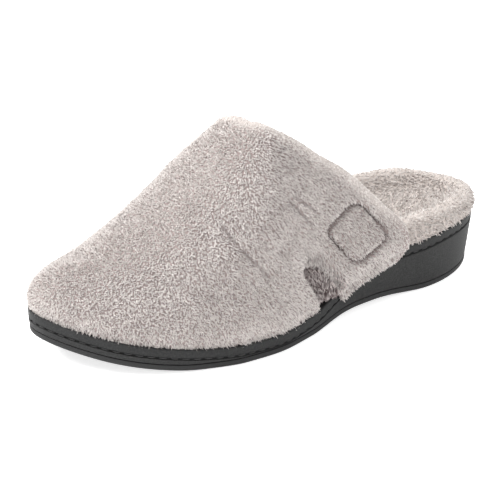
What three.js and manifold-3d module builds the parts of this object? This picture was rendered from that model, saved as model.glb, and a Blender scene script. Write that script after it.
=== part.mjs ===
// A left-foot slip-on house slipper with a terry upper, a plush-covered footbed and a wedge sole.
// +X runs to the toe, +Y to the wearer's left, which is the outer side of the foot, and +Z is up.
// Lengths are millimetres. A share s runs along the sole, from 0 at the heel to 1 at the toe.
import * as THREE from 'three';
import { mergeVertices } from 'three/addons/utils/BufferGeometryUtils.js';
import Module from 'manifold-3d';

const wasm = await Module();
wasm.setup();

// Driving sizes of the sole
const LENGTH = 258;
const BALL_WIDTH = 98;
const HEEL_WIDTH = 71;
const TOE_INFLARE = 13;
const HEEL_STACK = 30.4;
const FOREFOOT_STACK = 12;
const TOE_SPRING = 13;
const ARCH_LIFT = 3;
const HEEL_LIFT = 1.6;
const OUTSOLE_THICKNESS = 3.2;
const OUTSOLE_ROUND = 1.2;
const RIM_BAND = 4.4;
const RIM_ROUND = 0.8;
const GROOVE_WIDTH = 1.3;
const GROOVE_DEPTH = 1.1;
const HEEL_RAKE = 2.6;
const SIDE_RAKE = 0.4;

// Driving sizes of the upper
const WALL = 3.6;
const GAP = 0.3;
const FEATHER_INSET = 0.6;
const BULGE = 1.8;
const BULGE_HEIGHT = 30;
const INSTEP_HEIGHT = 110;
const TOE_HEIGHT = 44;
const HEM_DROP = 4.4;
const FLARE_HEIGHT = 60;
const NOTCH_HEIGHT = 25;
const NOTCH_FOOT_WIDTH = 16.5;
const NOTCH_TOP_WIDTH = 15;
const NOTCH_LEAN = 13.5;
const UNDERLAY_WALL = 2.6;
const UNDERLAY_CLEARANCE = 0.5;

// Driving sizes of the footbed
const FOOTBED_THICKNESS = 6;
const CUP_CREST = 41.8;
const CUP_DEPTH = 8;
const PLUSH_OVERHANG = 0.6;
const FOOTBED_CLEARANCE = 0.5;

// Where things lie along the sole, as shares of its length
const HEEL_REACH = 0.205;
const TOE_REACH = 0.22;
const WIDENING_START = 0.22;
const WIDENING_END = 0.6;
const HEEL_FLAT_START = 0.05;
const HEEL_FLAT_END = 0.2;
const ARCH_TOP_START = 0.34;
const ARCH_TOP_END = 0.38;
const BALL_FLAT_START = 0.52;
const BALL_FLAT_END = 0.72;
const FAN_START = 0.68;
const FAN_LAG = 0.11;
const COLLAR_TOP = 0.58;
const COLLAR_LATERAL = 0.262;
const COLLAR_MEDIAL = 0.29;
const HEM_ROUND = 0.02;
const STRAP_FRONT = 0.43;
const STRAP_HOLD = 0.015;
const STRAP_BLEND = 0.06;
const FOOTBED_STEP = 0.03;

// Mesh fineness
const SOLE_STATIONS = 60;
const UPPER_STATIONS = 38;
const UPPER_ARC_STEPS = 32;
const FOOT_CROWDING = 1.35;

// A monotone cubic curve through one column of a table, read at a value of its key
function through(rows, column, key = 's') {
  const xs = rows.map((row) => row[key]);
  const ys = rows.map((row) => row[column]);
  const slope = xs.slice(1).map((x, i) => (ys[i + 1] - ys[i]) / (x - xs[i]));
  const tangent = xs.map((_, i) => {
    if (i === 0) return slope[0];
    if (i === xs.length - 1) return slope[i - 1];
    if (slope[i - 1] * slope[i] <= 0) return 0;
    return 2 / (1 / slope[i - 1] + 1 / slope[i]);
  });
  return (x) => {
    if (x <= xs[0]) return ys[0];
    if (x >= xs[xs.length - 1]) return ys[ys.length - 1];
    const i = xs.findIndex((edge, k) => x >= edge && x < xs[k + 1]);
    const span = xs[i + 1] - xs[i];
    const t = (x - xs[i]) / span;
    const rest = 1 - t;
    return ys[i] * (1 + 2 * t) * rest * rest + tangent[i] * span * t * rest * rest
      + ys[i + 1] * t * t * (3 - 2 * t) - tangent[i + 1] * span * t * t * rest;
  };
}

function smoothstep(from, to, x) {
  const t = Math.min(1, Math.max(0, (x - from) / (to - from)));
  return t * t * (3 - 2 * t);
}

const mix = (a, b, t) => a + (b - a) * t;

// The quarter-ellipse that closes an end: 1 before it begins, 0 at the tip
function endCap(toTip, reach) {
  const u = Math.min(1, Math.max(0, 1 - toTip / reach));
  return Math.sqrt(1 - u * u);
}

// Half widths of the sole each side of its axis, as shares of the width there
const OUTLINE = [
  { s: 0.00, axis: 0.0, lateral: 0.500, medial: 0.50 },
  { s: 0.20, axis: 0.0, lateral: 0.500, medial: 0.49 },
  { s: 0.30, axis: 0.0, lateral: 0.480, medial: 0.44 },
  { s: 0.42, axis: 0.0, lateral: 0.450, medial: 0.37 },
  { s: 0.52, axis: 0.0, lateral: 0.485, medial: 0.37 },
  { s: 0.62, axis: 0.0, lateral: 0.520, medial: 0.42 },
  { s: 0.68, axis: 0.0, lateral: 0.512, medial: 0.47 },
  { s: 0.76, axis: 0.1, lateral: 0.470, medial: 0.47 },
  { s: 0.84, axis: 0.4, lateral: 0.440, medial: 0.42 },
  { s: 0.91, axis: 0.7, lateral: 0.420, medial: 0.38 },
  { s: 1.00, axis: 1.0, lateral: 0.330, medial: 0.33 },
];
const axisShare = through(OUTLINE, 'axis');
const sideShare = { 1: through(OUTLINE, 'lateral'), '-1': through(OUTLINE, 'medial') };
const alongX = (s) => (s - 0.5) * LENGTH;
const shareOf = (x) => x / LENGTH + 0.5;
const axisY = (s) => -TOE_INFLARE * axisShare(s);

function outline(s, side) {
  const width = mix(HEEL_WIDTH, BALL_WIDTH, smoothstep(WIDENING_START, WIDENING_END, s));
  const half = sideShare[side](s) * width * endCap(s, HEEL_REACH) * endCap(1 - s, TOE_REACH);
  return new THREE.Vector2(alongX(s), axisY(s) + side * half);
}

// Stations crowd towards both tips, so that the ends come out round
const shareAt = (p) => (1 - Math.cos(Math.PI * p)) / 2;

// The outline moved inwards along its own normal, for small insets
function insetOutline(p, side, inset) {
  const step = 1e-3;
  const before = outline(shareAt(Math.max(0, p - step)), side);
  const after = outline(shareAt(Math.min(1, p + step)), side);
  const along = after.sub(before).normalize();
  if (p <= 0) along.set(0, side);
  if (p >= 1) along.set(0, -side);
  const outward = new THREE.Vector2(-along.y, along.x).multiplyScalar(side);
  return outline(shareAt(p), side).addScaledVector(outward, -inset);
}

// How much of the heel's extra height the wedge has at a share
const WEDGE = [
  { s: 0.00, share: 1.02 },
  { s: 0.12, share: 1.00 },
  { s: 0.25, share: 0.82 },
  { s: 0.38, share: 0.40 },
  { s: 0.50, share: 0.00 },
  { s: 0.60, share: -0.11 },
  { s: 0.70, share: -0.09 },
  { s: 0.82, share: 0.00 },
  { s: 1.00, share: 0.02 },
];
const wedgeShare = through(WEDGE, 'share');

// The ground face: flat under the heel and the ball, hollow under the arch, lifted at both tips
function groundZ(s) {
  const intoArch = smoothstep(HEEL_FLAT_END, ARCH_TOP_START, s);
  const outOfArch = smoothstep(ARCH_TOP_END, BALL_FLAT_START, s);
  const toe = Math.max(0, (s - BALL_FLAT_END) / (1 - BALL_FLAT_END));
  const heel = Math.max(0, 1 - s / HEEL_FLAT_START);
  return ARCH_LIFT * intoArch * (1 - outOfArch) + TOE_SPRING * toe * toe + HEEL_LIFT * heel * heel;
}

function rimZ(s) {
  return groundZ(s) + mix(FOREFOOT_STACK, HEEL_STACK, wedgeShare(s));
}

// Gathers triangles from grids of points, and welds them
class Surface {
  constructor() {
    this.corners = [];
  }

  triangle(a, b, c) {
    for (const point of [a, b, c]) this.corners.push(point.x, point.y, point.z);
  }

  // A quad is split along its shorter diagonal
  quad(a, b, c, d) {
    if (a.distanceTo(c) < b.distanceTo(d)) {
      this.triangle(a, b, c);
      this.triangle(a, c, d);
    } else {
      this.triangle(a, b, d);
      this.triangle(b, c, d);
    }
  }

  grid(rows, flip = false) {
    for (let i = 0; i + 1 < rows.length; i++) {
      for (let j = 0; j + 1 < rows[i].length; j++) {
        const [a, b, c, d] = [rows[i][j], rows[i + 1][j], rows[i + 1][j + 1], rows[i][j + 1]];
        if (flip) this.quad(a, d, c, b);
        else this.quad(a, b, c, d);
      }
    }
  }

  geometry() {
    const loose = new THREE.BufferGeometry();
    loose.setAttribute('position', new THREE.Float32BufferAttribute(this.corners, 3));
    const welded = mergeVertices(loose, 1e-3);
    const index = Array.from(welded.index.array);
    const kept = [];
    for (let k = 0; k < index.length; k += 3) {
      const [a, b, c] = index.slice(k, k + 3);
      if (a !== b && b !== c && c !== a) kept.push(a, b, c);
    }
    welded.setIndex(kept);
    return welded;
  }
}

function toSolid(geometry) {
  const bare = geometry.clone();
  bare.deleteAttribute('normal');
  bare.deleteAttribute('uv');
  const merged = mergeVertices(bare, 1e-4);
  const vertProperties = new Float32Array(merged.attributes.position.array);
  const triVerts = new Uint32Array(merged.index.array);
  return new wasm.Manifold(new wasm.Mesh({ numProp: 3, vertProperties, triVerts }));
}

function toGeometry(solid) {
  const mesh = solid.getMesh();
  const geometry = new THREE.BufferGeometry();
  geometry.setAttribute('position', new THREE.Float32BufferAttribute(mesh.vertProperties, 3));
  geometry.setIndex(Array.from(mesh.triVerts));
  return geometry;
}

const range = (from, to) => Array.from({ length: to - from + 1 }, (_, k) => from + k);

// A solid of stacked rings. A ring gives a point for each station p, share s and side.
function stackedSolid(rings) {
  const surface = new Surface();
  const stations = range(0, SOLE_STATIONS).map((i) => i / SOLE_STATIONS);
  const sides = [1, -1].map((side) => (
    rings.map((ring) => stations.map((p) => ring(p, shareAt(p), side)))
  ));
  surface.grid(sides[0], true);
  surface.grid(sides[1]);
  const last = rings.length - 1;
  surface.grid([sides[0][0], sides[1][0]]);
  surface.grid([sides[0][last], sides[1][last]], true);
  return surface.geometry();
}

// A ring at an inset of the sole's outline, at the height that its own place along the sole has
const ringAt = (inset, height) => (p, s, side) => {
  const flat = insetOutline(p, side, inset(s, side));
  return new THREE.Vector3(flat.x, flat.y, height(shareOf(flat.x)));
};

const model = new THREE.Group();
function add(name, geometry, material) {
  const mesh = new THREE.Mesh(geometry, material);
  mesh.name = name;
  model.add(mesh);
}

const foam = new THREE.MeshStandardMaterial({ color: 0x4b4b4b, roughness: 0.7 });
const rubber = new THREE.MeshStandardMaterial({ color: 0x444444, roughness: 0.8 });
const terry = new THREE.MeshStandardMaterial({ color: 0xbbb2ad, roughness: 1 });
const plush = new THREE.MeshStandardMaterial({ color: 0xc2bab5, roughness: 1 });

// The sole: a rubber outsole under a foam wedge with a stitched channel below its rim
const rake = (s) => mix(HEEL_RAKE, SIDE_RAKE, smoothstep(0, HEEL_FLAT_END, s));
const flush = () => 0;
const inChannel = () => GROOVE_DEPTH;
const grooveHeight = (share) => (s) => rimZ(s) - RIM_BAND - share * GROOVE_WIDTH;
add('midsole', stackedSolid([
  ringAt(() => RIM_ROUND, rimZ),
  ringAt(flush, (s) => rimZ(s) - RIM_ROUND),
  ringAt(flush, grooveHeight(0)),
  ringAt(inChannel, grooveHeight(0.15)),
  ringAt(inChannel, grooveHeight(0.85)),
  ringAt(flush, grooveHeight(1)),
  ringAt(rake, (s) => groundZ(s) + OUTSOLE_THICKNESS + GAP),
]), foam);
add('outsole', stackedSolid([
  ringAt(rake, (s) => groundZ(s) + OUTSOLE_THICKNESS),
  ringAt(rake, (s) => groundZ(s) + OUTSOLE_ROUND),
  ringAt((s) => rake(s) + OUTSOLE_ROUND, groundZ),
]), rubber);

// How the upper rises along the shoe: its height from toe to instep, where its ridge runs
// from the inner foot (0) to the outer foot (1), and how square its sections are
const VAMP = [
  { s: 0.20, rise: 0.80, ridge: 0.56, square: 2.3 },
  { s: 0.40, rise: 0.96, ridge: 0.60, square: 2.4 },
  { s: 0.57, rise: 1.00, ridge: 0.60, square: 2.5 },
  { s: 0.62, rise: 0.88, ridge: 0.58, square: 2.55 },
  { s: 0.70, rise: 0.57, ridge: 0.54, square: 2.45 },
  { s: 0.80, rise: 0.26, ridge: 0.51, square: 2.4 },
  { s: 0.90, rise: 0.07, ridge: 0.50, square: 2.5 },
  { s: 1.00, rise: 0.00, ridge: 0.50, square: 2.6 },
];
const riseShare = through(VAMP, 'rise');
const ridgeShare = through(VAMP, 'ridge');
const squareness = through(VAMP, 'square');
const crownZ = (x) => mix(TOE_HEIGHT, INSTEP_HEIGHT, riseShare(shareOf(x)));

// The spine of the toe box ends short of the tip, and the rows fan out from it
const spineShare = (s) => s - FAN_LAG * Math.pow(Math.max(0, (s - FAN_START) / (1 - FAN_START)), 2);

const sideOf = (arc) => (arc <= 0.5 ? 1 : -1);

// The last: feet on the feather line, arched over the foot. The arc runs from 0 at the
// outer foot over the ridge at a half to 1 at the inner foot.
function lastPoint(s, arc) {
  const foot = outline(s, sideOf(arc));
  const at = spineShare(s);
  const ridgeY = mix(outline(at, -1).y, outline(at, 1).y, ridgeShare(at));
  const power = 2 / squareness(s);
  const across = Math.pow(Math.abs(Math.cos(Math.PI * arc)), power);
  const up = Math.pow(Math.abs(Math.sin(Math.PI * arc)), power);
  const x = mix(alongX(at), foot.x, across);
  const base = rimZ(s) + GAP;
  return new THREE.Vector3(x, mix(ridgeY, foot.y, across), mix(base, crownZ(x), up));
}

function lastNormal(s, arc) {
  const ds = 1e-4;
  const da = 1e-3;
  const atTip = s > 1 - 2 * ds;
  let at = Math.min(1 - da, Math.max(da, arc));
  if (atTip && Math.abs(at - 0.5) < 2 * da) at = 0.5 - 2 * da;
  const along = atTip ? new THREE.Vector3(0, -sideOf(at), 0)
    : lastPoint(s + ds, at).sub(lastPoint(s - ds, at));
  const around = lastPoint(s, at + da).sub(lastPoint(s, at - da));
  return around.cross(along).normalize();
}

// 1 where the strap hangs outside the sole's rim, 0 where the upper stands on it
const strapShare = (s) => 1 - smoothstep(STRAP_FRONT + STRAP_HOLD, STRAP_FRONT + STRAP_BLEND, s);

// A point at a depth under the outside of the upper. The bulge is fullest at a third of its height.
function upperPoint(s, arc, depth) {
  const point = lastPoint(s, arc);
  const lift = point.z - rimZ(s) - GAP;
  const t = Math.min(1, lift / BULGE_HEIGHT);
  const bulge = BULGE * (27 / 4) * t * (1 - t) * (1 - t);
  const strap = arc < 0.5 ? strapShare(s) * (1 - smoothstep(0, FLARE_HEIGHT, lift)) : 0;
  const flare = strap * (FEATHER_INSET + GAP + WALL);
  return point.addScaledVector(lastNormal(s, arc), bulge + flare - FEATHER_INSET - depth);
}

// How far forward the collar lies between its lowest place (0) and its top (1), on the way up
// from each foot to the ridge
const COLLAR = [
  { climb: 0.00, lateral: 0.00, medial: 0.00 },
  { climb: 0.08, lateral: 0.03, medial: 0.06 },
  { climb: 0.20, lateral: 0.18, medial: 0.24 },
  { climb: 0.40, lateral: 0.42, medial: 0.52 },
  { climb: 0.60, lateral: 0.69, medial: 0.80 },
  { climb: 0.80, lateral: 0.89, medial: 1.00 },
  { climb: 1.00, lateral: 1.00, medial: 1.00 },
];
const collarForward = { 1: through(COLLAR, 'lateral', 'climb'), '-1': through(COLLAR, 'medial', 'climb') };

// Where the collar cuts a column, as a share along the sole
function collarShare(column) {
  const side = sideOf(column.arc);
  const back = side > 0 ? COLLAR_LATERAL : COLLAR_MEDIAL;
  const climb = 1 - Math.abs(1 - 2 * column.arc);
  return mix(back, COLLAR_TOP, collarForward[side](climb)) + column.trim * HEM_ROUND;
}

// The columns run from the strap's hem, below the rim, over the foot to the inner foot.
// They crowd towards both feet, where the sections turn upright.
const UPPER_COLUMNS = [{ arc: 0, sink: 1, trim: 1 }, { arc: 0, sink: 0.5, trim: 0.35 }];
for (let j = 0; j <= UPPER_ARC_STEPS; j++) {
  const across = 2 * j / UPPER_ARC_STEPS - 1;
  const climb = Math.pow(1 - Math.abs(across), FOOT_CROWDING);
  const arc = across <= 0 ? 0.5 * climb : 1 - 0.5 * climb;
  UPPER_COLUMNS.push({ arc, sink: 0, trim: j === 0 ? 0.1 : 0 });
}

// Rows crowd towards the toe, from the place where the collar starts a column
const rowShare = (row, start) => mix(start, 1, Math.sin(0.5 * Math.PI * row / UPPER_STATIONS));

function shellPoint(row, column, depth) {
  const s = rowShare(row, collarShare(column));
  const point = upperPoint(s, column.arc, depth);
  if (column.arc === 0 || column.arc === 1) point.z = rimZ(shareOf(point.x)) + GAP;
  point.z -= column.sink * strapShare(s) * (HEM_DROP + GAP);
  return point;
}

// A shell between two depths, over some rows and columns of the upper's grid
function shell(rows, columns, outerDepth, innerDepth, reachesTip) {
  const layer = (depth) => rows.map((row) => columns.map((column) => shellPoint(row, column, depth)));
  const outer = layer(outerDepth);
  const inner = layer(innerDepth);
  const edge = (layerRows, j) => layerRows.map((row) => row[j]);
  const last = columns.length - 1;
  const surface = new Surface();
  surface.grid(outer, true);
  surface.grid(inner);
  surface.grid([edge(outer, 0), edge(inner, 0)], true);
  surface.grid([edge(outer, last), edge(inner, last)]);
  surface.grid([outer[0], inner[0]]);
  if (!reachesTip) surface.grid([outer[rows.length - 1], inner[rows.length - 1]], true);
  return surface.geometry();
}

// The notch between the strap's front edge and the vamp, leaning forward, cut through the outer side
function notchCutter() {
  const back = alongX(STRAP_FRONT);
  const foot = rimZ(STRAP_FRONT + 0.5 * STRAP_BLEND);
  const top = foot + NOTCH_HEIGHT;
  const below = foot - HEM_DROP - NOTCH_HEIGHT;
  const topBack = back + NOTCH_LEAN;
  const topFront = topBack + NOTCH_TOP_WIDTH;
  const front = back + NOTCH_FOOT_WIDTH;
  const shape = new THREE.Shape();
  shape.moveTo(back, below);
  shape.lineTo(back, foot - HEM_DROP);
  shape.lineTo(mix(back, topBack, 0.7), mix(foot, top, 0.8));
  shape.quadraticCurveTo(topBack, top, mix(topBack, topFront, 0.5), top);
  shape.quadraticCurveTo(topFront, top, mix(front, topFront, 0.6), mix(foot, top, 0.7));
  shape.quadraticCurveTo(front, mix(foot, top, 0.25), front, foot);
  shape.lineTo(front, below);
  const geometry = new THREE.ExtrudeGeometry(shape, { depth: BALL_WIDTH, bevelEnabled: false, curveSegments: 5 });
  geometry.rotateX(Math.PI / 2);
  geometry.translate(0, BALL_WIDTH, 0);
  return geometry;
}

const wholeUpper = shell(range(0, UPPER_STATIONS), UPPER_COLUMNS, 0, WALL, true);
add('upper', toGeometry(toSolid(wholeUpper).subtract(toSolid(notchCutter()))), terry);

// The side underlay stands on the rim behind the notch, under the strap
const UNDERLAY_ROWS = range(3, 11);
const UNDERLAY_COLUMNS = UPPER_COLUMNS.slice(2, 10);
const underlayDepth = WALL + UNDERLAY_CLEARANCE;
const underlayFront = rowShare(UNDERLAY_ROWS[UNDERLAY_ROWS.length - 1], COLLAR_LATERAL);
add('side_underlay', shell(
  UNDERLAY_ROWS, UNDERLAY_COLUMNS, underlayDepth, underlayDepth + UNDERLAY_WALL, false), terry);

// The footbed: how far its edge rises from the plain thickness to the level crest of the cup,
// and how much of the cup's depth it is dished by
const FOOTBED = [
  { s: 0.00, crest: 0.1, dish: 0.8 },
  { s: 0.05, crest: 0.6, dish: 0.9 },
  { s: 0.10, crest: 1.0, dish: 1.0 },
  { s: 0.22, crest: 1.0, dish: 1.0 },
  { s: 0.30, crest: 0.7, dish: 0.7 },
  { s: 0.38, crest: 0.2, dish: 0.3 },
  { s: 0.46, crest: 0.0, dish: 0.2 },
  { s: 1.00, crest: 0.0, dish: 0.1 },
];
const crestShare = through(FOOTBED, 'crest');
const dishShare = through(FOOTBED, 'dish');
const crestHeight = (s) => mix(FOOTBED_THICKNESS, CUP_CREST - rimZ(s), crestShare(s));

// How far the footbed's edge lies inside the sole's outline. It overhangs the open heel, and
// steps inwards before the upper's wall and the underlay.
function footbedEdge(s, side) {
  const stepAt = (end) => smoothstep(end - FOOTBED_STEP, end, s);
  const wallInset = FEATHER_INSET + WALL;
  if (side < 0) return mix(-PLUSH_OVERHANG, wallInset + FOOTBED_CLEARANCE, stepAt(COLLAR_MEDIAL));
  const inset = mix(wallInset, -GAP, strapShare(s));
  const underlay = (UNDERLAY_CLEARANCE + UNDERLAY_WALL) * (1 - stepAt(underlayFront + 2 * FOOTBED_STEP));
  return mix(-PLUSH_OVERHANG, inset + underlay + FOOTBED_CLEARANCE, stepAt(COLLAR_LATERAL + FOOTBED_STEP));
}

// Rings further in shrink towards the axis, so that they nest in the round ends
const shrunkRing = (reach, drop) => (p, s, side) => {
  const edge = insetOutline(p, side, Math.max(0, footbedEdge(s, side)));
  const x = edge.x * (1 - reach / (0.5 * LENGTH));
  const y = mix(axisY(s), edge.y, 1 - reach / (0.5 * HEEL_WIDTH));
  const at = shareOf(x);
  return new THREE.Vector3(x, y, rimZ(at) + crestHeight(at) - drop * CUP_DEPTH * dishShare(at));
};
const footbedSide = (inset, share) => ringAt(
  (s, side) => footbedEdge(s, side) + inset,
  (s) => rimZ(s) + GAP + share * (crestHeight(s) - GAP),
);
add('footbed', stackedSolid([
  shrunkRing(24, 1),
  shrunkRing(17, 0.85),
  shrunkRing(11, 0.35),
  shrunkRing(7, 0.06),
  shrunkRing(4.5, 0.02),
  footbedSide(2, 0.88),
  footbedSide(0.6, 0.66),
  footbedSide(0, 0.35),
  footbedSide(0.8, 0),
]), plush);

// The origin lies at the middle of the model's box, on the ground
const box = new THREE.Box3().setFromObject(model);
const middle = box.getCenter(new THREE.Vector3());
model.position.set(-middle.x, -middle.y, -box.min.z);

export default model;
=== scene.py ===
# A left-foot house slipper: fluffy terry upper, plush footbed and a stitched wedge sole.
# Metres, in the CAD's frame: +X to the toe, +Y to the outer side of the foot, +Z up.
import math

import bmesh
import bpy
import numpy as np
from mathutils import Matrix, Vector


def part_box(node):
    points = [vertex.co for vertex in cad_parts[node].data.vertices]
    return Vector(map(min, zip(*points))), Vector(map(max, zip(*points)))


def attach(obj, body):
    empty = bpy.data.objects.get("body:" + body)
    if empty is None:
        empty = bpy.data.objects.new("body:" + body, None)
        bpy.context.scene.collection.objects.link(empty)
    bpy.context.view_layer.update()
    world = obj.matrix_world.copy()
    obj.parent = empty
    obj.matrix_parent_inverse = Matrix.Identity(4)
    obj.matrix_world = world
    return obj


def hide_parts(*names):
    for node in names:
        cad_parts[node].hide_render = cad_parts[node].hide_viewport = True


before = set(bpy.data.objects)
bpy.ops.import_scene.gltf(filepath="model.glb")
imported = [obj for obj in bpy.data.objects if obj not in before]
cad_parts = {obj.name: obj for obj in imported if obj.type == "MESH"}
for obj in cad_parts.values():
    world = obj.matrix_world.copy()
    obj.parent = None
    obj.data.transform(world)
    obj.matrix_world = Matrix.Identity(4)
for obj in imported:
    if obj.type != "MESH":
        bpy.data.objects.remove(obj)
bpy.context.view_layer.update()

MM = 0.001

# The camera stands off the outer side and the toe with a long lens, and looks down on the
# slipper. Its small shift puts the slipper where the photograph has it in the frame.
AIM = Vector((0.1, -1.8, 25)) * MM
AIM_PIXEL = (267.7, 257.3)
FRAME_PIXELS = 500
PIXELS_PER_MM = 1.951
DISTANCE = 900 * MM
BEARING = math.radians(55)
ELEVATION = math.radians(25)
SENSOR_MM = 36

lens = bpy.data.cameras.new("camera")
lens.sensor_width = SENSOR_MM
lens.lens = PIXELS_PER_MM * DISTANCE / MM * SENSOR_MM / FRAME_PIXELS
lens.shift_x = (FRAME_PIXELS / 2 - AIM_PIXEL[0]) / FRAME_PIXELS
lens.shift_y = (AIM_PIXEL[1] - FRAME_PIXELS / 2) / FRAME_PIXELS
camera = bpy.data.objects.new("camera", lens)
towards_camera = Vector((
    math.cos(BEARING) * math.cos(ELEVATION), math.sin(BEARING) * math.cos(ELEVATION), math.sin(ELEVATION)))
camera.location = AIM + towards_camera * DISTANCE
camera.rotation_euler = (-towards_camera).to_track_quat("-Z", "Y").to_euler()
bpy.context.collection.objects.link(camera)
bpy.context.scene.camera = camera


# The studio: a white sweep that glows a little, so that it stays pale under the shoe, a soft
# dome of light, and three softboxes: a strong one high over the toe, and two weak ones.
FLOOR_HALF = 6.0
SWEEP_GLOW = 0.7
DOME_STRENGTH = 0.58


def srgb(red, green, blue):
    """A colour's 0 to 255 values, as the linear values that a shader takes."""
    channel = np.array([red, green, blue]) / 255
    linear = np.where(channel <= 0.04045, channel / 12.92, ((channel + 0.055) / 1.055) ** 2.4)
    return (*linear.tolist(), 1.0)


class Socket:
    """A value in a material's node tree. Arithmetic on it adds the Math node that does it."""

    def __init__(self, finish, link):
        self.finish = finish
        self.link = link

    def maths(self, operation, *values):
        return self.finish.node("ShaderNodeMath", {"operation": operation}, dict(enumerate(values)))

    def __add__(self, other):
        return self.maths("ADD", self, other)

    def __sub__(self, other):
        return self.maths("SUBTRACT", self, other)

    def __rsub__(self, other):
        return self.maths("SUBTRACT", other, self)

    def __mul__(self, other):
        return self.maths("MULTIPLY", self, other)

    __radd__ = __add__
    __rmul__ = __mul__


class Finish:
    """A material with one Principled shader, whose fixed values are set on its own sockets."""

    def __init__(self, name, fixed):
        self.material = bpy.data.materials.new(name)
        self.material.use_nodes = True
        self.tree = self.material.node_tree
        self.shader = self.tree.nodes["Principled BSDF"]
        for socket, value in fixed.items():
            self.shader.inputs[socket].default_value = value

    def feed(self, node, socket, value):
        """Links a Socket to an input of a node, or sets a plain value there."""
        if isinstance(value, Socket):
            self.tree.links.new(value.link, node.inputs[socket])
        else:
            node.inputs[socket].default_value = value

    def node(self, kind, settings, values, output=0):
        """Adds a node: its settings first, then its inputs."""
        node = self.tree.nodes.new(kind)
        for name, value in settings.items():
            setattr(node, name, value)
        for socket, value in values.items():
            self.feed(node, socket, value)
        return Socket(self, node.outputs[output])

    def noise(self, grain, detail=2.0):
        """Noise from 0 to 1 with grains of a size in metres, on Object coordinates."""
        place = self.node("ShaderNodeTexCoord", {}, {}, "Object")
        values = {"Vector": place, "Scale": 1 / grain, "Detail": detail}
        return self.node("ShaderNodeTexNoise", {}, values, "Fac")

    def attribute(self, name):
        """A value that the mesh keeps for each of its points."""
        return self.node("ShaderNodeAttribute", {"attribute_name": name}, {}, "Fac")

    def blend(self, share, first, second):
        """The mix of two colours."""
        return self.node("ShaderNodeMix", {"data_type": "RGBA"}, {0: share, 6: first, 7: second}, 2)

    def bump(self, height, depth, strength=1.0):
        """A normal roughened by a height, whose whole range is a depth in metres."""
        values = {"Height": height, "Distance": depth, "Strength": strength}
        return self.node("ShaderNodeBump", {}, values, "Normal")

    def give(self, socket, value):
        """Feeds one of the shader's own inputs."""
        self.feed(self.shader, socket, value)


def softbox(name, place, size, watts):
    """A square area light of a size, aimed at the slipper."""
    light = bpy.data.lights.new(name, "AREA")
    light.size = size
    light.energy = watts
    lamp = bpy.data.objects.new(name, light)
    lamp.location = place
    lamp.rotation_euler = (AIM - Vector(place)).to_track_quat("-Z", "Y").to_euler()
    bpy.context.collection.objects.link(lamp)


softbox("softbox_toe", (1.5, -0.8, 2.0), 1.1, 84)
softbox("softbox_side", (-0.6, 1.9, 1.0), 1.6, 9)
softbox("softbox_back", (-1.4, -0.8, 1.3), 0.8, 20)
world = bpy.data.worlds.new("dome")
world.use_nodes = True
world.node_tree.nodes["Background"].inputs["Color"].default_value = (1, 1, 1, 1)
world.node_tree.nodes["Background"].inputs["Strength"].default_value = DOME_STRENGTH
bpy.context.scene.world = world
bpy.context.scene.view_settings.view_transform = "Standard"

sweep = Finish("sweep_white", {"Base Color": (0.9, 0.9, 0.9, 1), "Roughness": 0.9, "Specular IOR Level": 0.1,
                               "Emission Color": (1, 1, 1, 1), "Emission Strength": SWEEP_GLOW})
corners = [(x * FLOOR_HALF, y * FLOOR_HALF, 0) for x, y in ((-1, -1), (1, -1), (1, 1), (-1, 1))]
floor_mesh = bpy.data.meshes.new("floor")
floor_mesh.from_pydata(corners, [], [(0, 1, 2, 3)])
floor_mesh.materials.append(sweep.material)
floor = bpy.data.objects.new("floor", floor_mesh)
bpy.context.collection.objects.link(floor)


# The wedge: moulded dark grey foam with a band round its rim above a channel. Its outline, rim
# and ground follow the same shares as the CAD's sole, and its length and place come from it.
sole_low, sole_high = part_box("midsole")
LENGTH = sole_high.x - sole_low.x
MIDDLE_X = (sole_high.x + sole_low.x) / 2
HEEL_WIDTH = 71 * MM
BALL_WIDTH = 98 * MM
TOE_INFLARE = 13 * MM
HEEL_STACK = 30.4 * MM
FOREFOOT_STACK = 12 * MM
TOE_SPRING = 13 * MM
ARCH_LIFT = 3 * MM
HEEL_LIFT = 1.6 * MM
OUTSOLE_THICKNESS = 3.2 * MM
GAP = 0.3 * MM
RIM_ROUND = 0.8 * MM
RIM_BAND = 4.4 * MM
CHANNEL_WIDTH = 1.5 * MM
CHANNEL_DEPTH = 1.1 * MM
HEEL_RAKE = 2.6 * MM
SIDE_RAKE = 0.4 * MM
HEEL_REACH = 0.205
TOE_REACH = 0.22
WIDENING = (0.22, 0.6)
HEEL_FLAT = (0.05, 0.2)
ARCH_TOP = (0.34, 0.38)
BALL_FLAT = (0.52, 0.72)
SOLE_STATIONS = 260
STRIP_INSET = 3 * MM
MERGE_DISTANCE = 0.01 * MM
OUTLINE = {
    "along": (0.00, 0.20, 0.30, 0.42, 0.52, 0.62, 0.68, 0.76, 0.84, 0.91, 1.00),
    "axis": (0.0, 0.0, 0.0, 0.0, 0.0, 0.0, 0.0, 0.1, 0.4, 0.7, 1.0),
    "outer": (0.5, 0.5, 0.48, 0.45, 0.485, 0.52, 0.512, 0.47, 0.44, 0.42, 0.33),
    "inner": (0.5, 0.49, 0.44, 0.37, 0.37, 0.42, 0.47, 0.47, 0.42, 0.38, 0.33),
}
WEDGE = {
    "along": (0.00, 0.12, 0.25, 0.38, 0.50, 0.60, 0.70, 0.82, 1.00),
    "share": (1.02, 1.00, 0.82, 0.40, 0.00, -0.11, -0.09, 0.00, 0.02),
}


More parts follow.
